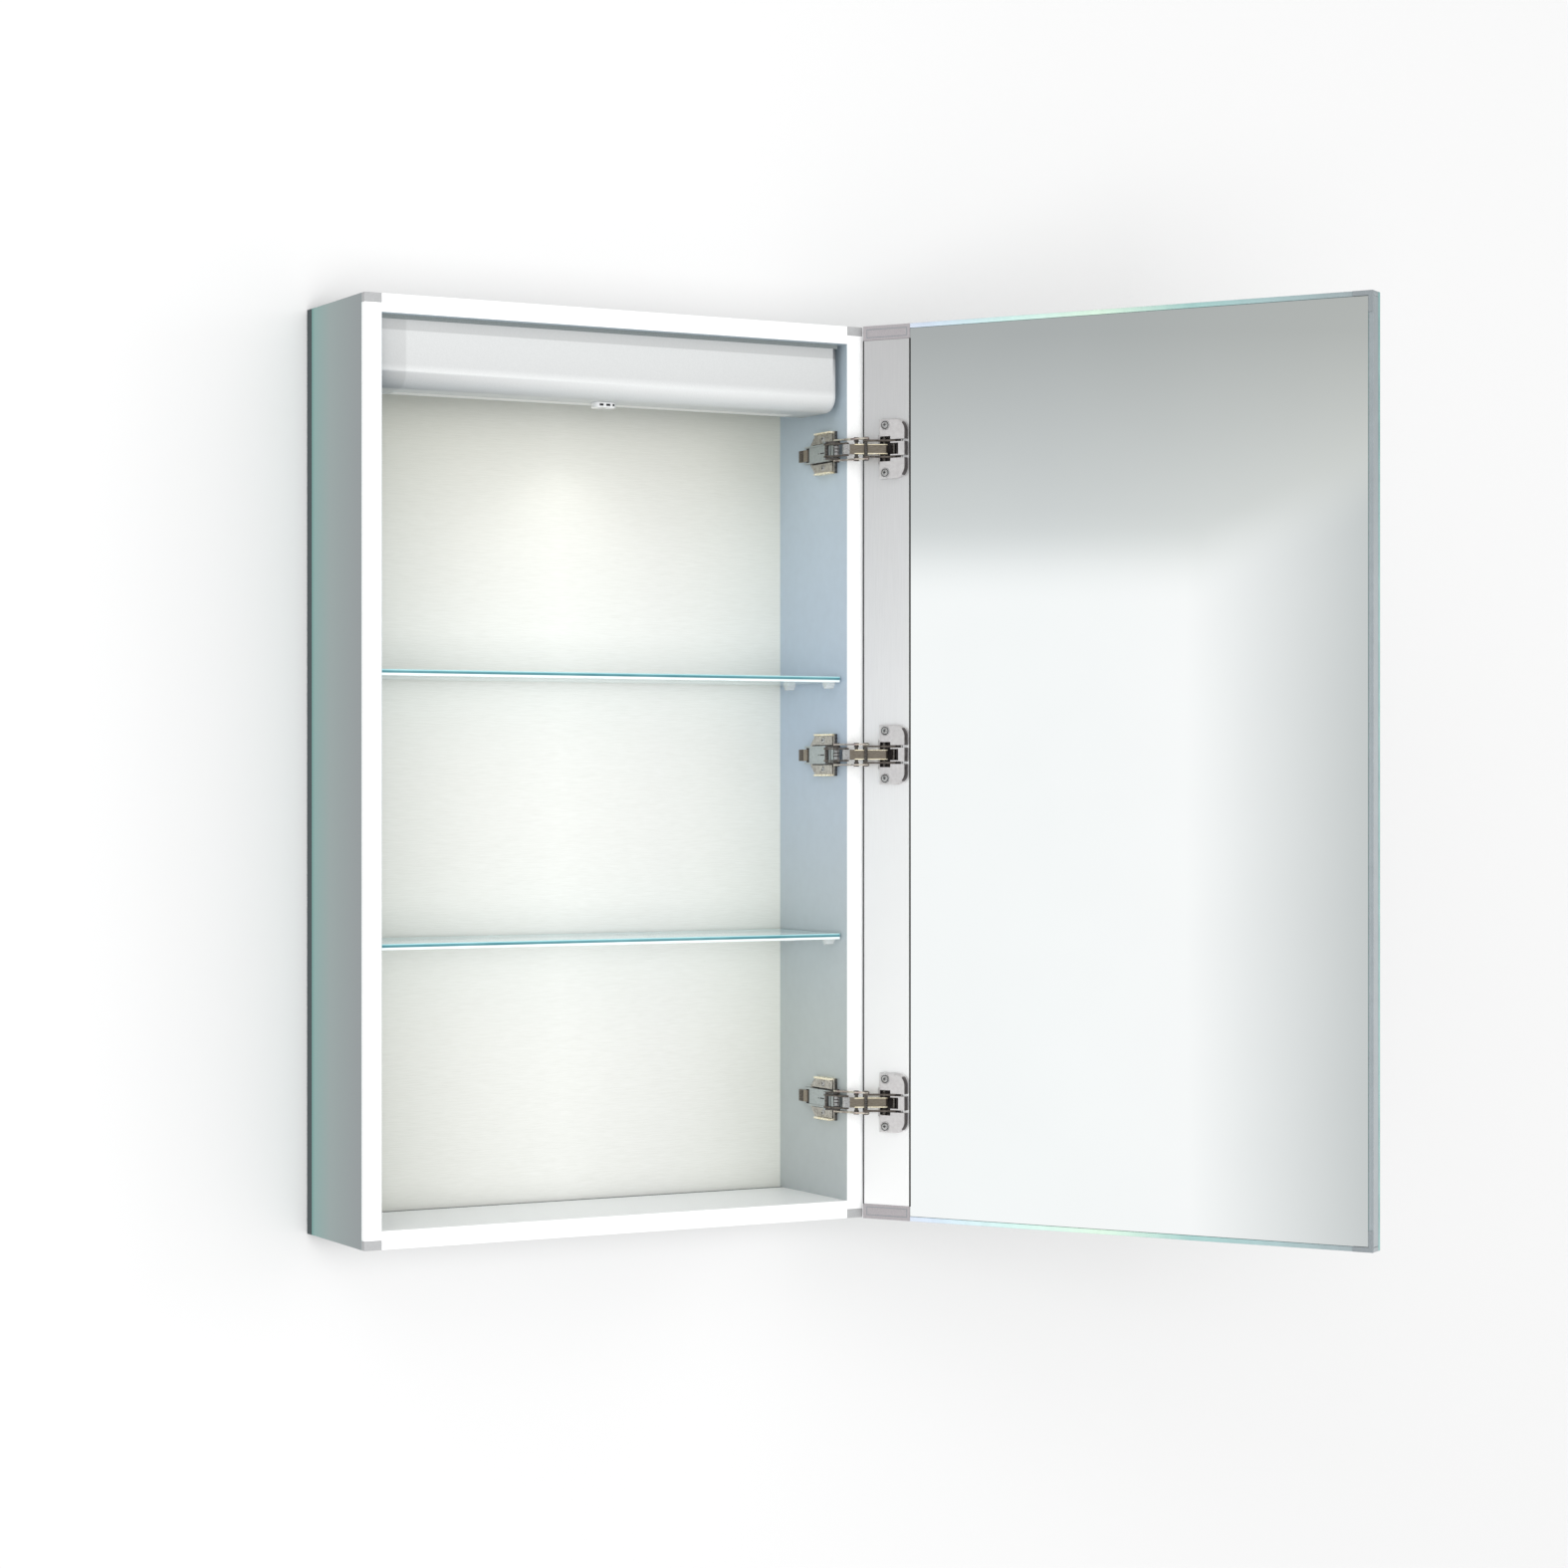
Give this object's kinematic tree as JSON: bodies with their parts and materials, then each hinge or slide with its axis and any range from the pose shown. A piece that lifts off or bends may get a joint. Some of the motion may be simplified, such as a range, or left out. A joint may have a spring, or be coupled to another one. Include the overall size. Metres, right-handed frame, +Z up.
{
  "type": "medicine cabinet",
  "caption": "Wall-mounted mirrored medicine cabinet with a wide-opening mirrored door, glass shelves and a light housing with a motion sensor",
  "frame": {"origin": "centre of the cabinet's back face, on the wall plane", "axes": "+X to the right seen from the front, +Y into the wall, +Z up"},
  "size_m": [0.7096, 0.5188, 0.762],
  "materials": {
    "frame_white": "satin white powder coat",
    "liner_satin": "horizontally brushed satin",
    "rear_dark": "dark grey painted",
    "cap_grey": "light grey moulded",
    "mirror": "silvered float glass with green edge",
    "shelf_glass": "clear float glass with green edge",
    "housing_grey": "satin light grey",
    "diffuser": "opal",
    "inner_plastic": "moulded",
    "board": "white solder mask",
    "sensor_chrome": "polished",
    "sensor_dark": "gloss dark lens",
    "rubber": "moulded",
    "zinc_steel": "zinc plated",
    "support_clear": "clear moulded",
    "rail_satin": "satin anodised",
    "hinge_nickel": "nickel plated",
    "hinge_bronze": "nickel plated, warm tint",
    "pin_steel": "turned steel"
  },
  "bodies": {
    "cabinet": {"left_side_panel": "frame_white", "right_side_panel": "frame_white", "top_panel": "frame_white", "bottom_panel": "frame_white", "back_panel": "liner_satin", "rear_frame": "rear_dark", "corner_cap_top_left": "cap_grey", "corner_cap_top_right": "cap_grey", "corner_cap_bottom_left": "cap_grey", "corner_cap_bottom_right": "cap_grey", "left_side_mirror": "mirror", "right_side_mirror": "mirror", "light_housing": "housing_grey", "light_diffuser": "diffuser", "led_driver": "inner_plastic", "terminal_block": "inner_plastic", "led_board": "board", "sensor_bezel": "sensor_chrome", "sensor_window": "sensor_dark", "cable_grommet": "rubber", "housing_bracket": "zinc_steel", "housing_screws": "zinc_steel", "plate_screws": "zinc_steel", "upper_shelf_supports": "support_clear", "lower_shelf_supports": "support_clear", "mounting_plate_top": "hinge_nickel", "mounting_plate_middle": "hinge_nickel", "mounting_plate_bottom": "hinge_nickel", "hinge_arm_top": "hinge_nickel", "hinge_arm_middle": "hinge_nickel", "hinge_arm_bottom": "hinge_nickel", "arm_pins": "pin_steel"},
    "door": {"rail_cap_top": "cap_grey", "rail_cap_bottom": "cap_grey", "door_front_mirror": "mirror", "door_inner_mirror": "mirror", "door_core": "inner_plastic", "cup_screws": "zinc_steel", "hinge_rail": "rail_satin", "door_top_trim": "rail_satin", "door_bottom_trim": "rail_satin", "door_edge_trim": "rail_satin", "corner_clips": "rail_satin", "hinge_cup_top": "hinge_nickel", "hinge_cup_middle": "hinge_nickel", "hinge_cup_bottom": "hinge_nickel", "cup_pins": "pin_steel"},
    "side_links": {"side_links": "hinge_nickel", "side_link_pins": "pin_steel"},
    "central_bars": {"central_bars": "hinge_bronze", "bar_pins": "pin_steel"},
    "arm_short_links": {"arm_short_links": "hinge_bronze"},
    "cup_short_links": {"cup_short_links": "hinge_bronze"},
    "upper_shelf": {"upper_shelf": "shelf_glass"},
    "lower_shelf": {"lower_shelf": "shelf_glass"},
    "release_lever_top": {"release_lever_top": "hinge_bronze"},
    "release_lever_middle": {"release_lever_middle": "hinge_bronze"},
    "release_lever_bottom": {"release_lever_bottom": "hinge_bronze"}
  },
  "joints": [
    {"name": "door_swing", "type": "hinge", "parent": "cabinet", "child": "door", "pos_m": [0.228, -0.1298, 0], "axis": [0, 0, 1], "range_deg": [-122, 0]},
    {"name": "side_link_turn", "type": "hinge", "parent": "cabinet", "child": "side_links", "pos_m": [0.2065, -0.119, 0], "axis": [0, 0, 1], "range_deg": [-122, 0]},
    {"name": "central_bar_turn", "type": "hinge", "parent": "side_links", "child": "central_bars", "pos_m": [0.21441, -0.13882, 0], "axis": [0, 0, 1], "range_deg": [0, 122]},
    {"name": "arm_short_link_turn", "type": "hinge", "parent": "cabinet", "child": "arm_short_links", "pos_m": [0.19953, -0.11331, 0], "axis": [0, 0, 1], "range_deg": [-122, 0]},
    {"name": "cup_short_link_turn", "type": "hinge", "parent": "side_links", "child": "cup_short_links", "pos_m": [0.21948, -0.14625, 0], "axis": [0, 0, 1], "range_deg": [0, 122]},
    {"name": "upper_shelf_lift", "type": "slide", "parent": "cabinet", "child": "upper_shelf", "axis": [0, 0, 1], "range_m": [0, 0.03]},
    {"name": "lower_shelf_lift", "type": "slide", "parent": "cabinet", "child": "lower_shelf", "axis": [0, 0, 1], "range_m": [0, 0.03]},
    {"name": "release_press_top", "type": "hinge", "parent": "cabinet", "child": "release_lever_top", "pos_m": [0.2085, -0.064, 0.275], "axis": [0, 0, 1], "range_deg": [-10, 0], "stiffness_Nm_per_rad": 0.4},
    {"name": "release_press_middle", "type": "hinge", "parent": "cabinet", "child": "release_lever_middle", "pos_m": [0.2085, -0.064, 0.015], "axis": [0, 0, 1], "range_deg": [-10, 0], "stiffness_Nm_per_rad": 0.4},
    {"name": "release_press_bottom", "type": "hinge", "parent": "cabinet", "child": "release_lever_bottom", "pos_m": [0.2085, -0.064, -0.281], "axis": [0, 0, 1], "range_deg": [-10, 0], "stiffness_Nm_per_rad": 0.4}
  ],
  "couplings": [
    {"joint": "side_link_turn", "follows": "door_swing", "ratio": 1},
    {"joint": "central_bar_turn", "follows": "door_swing", "ratio": -1},
    {"joint": "arm_short_link_turn", "follows": "door_swing", "ratio": 1},
    {"joint": "cup_short_link_turn", "follows": "door_swing", "ratio": -1}
  ]
}
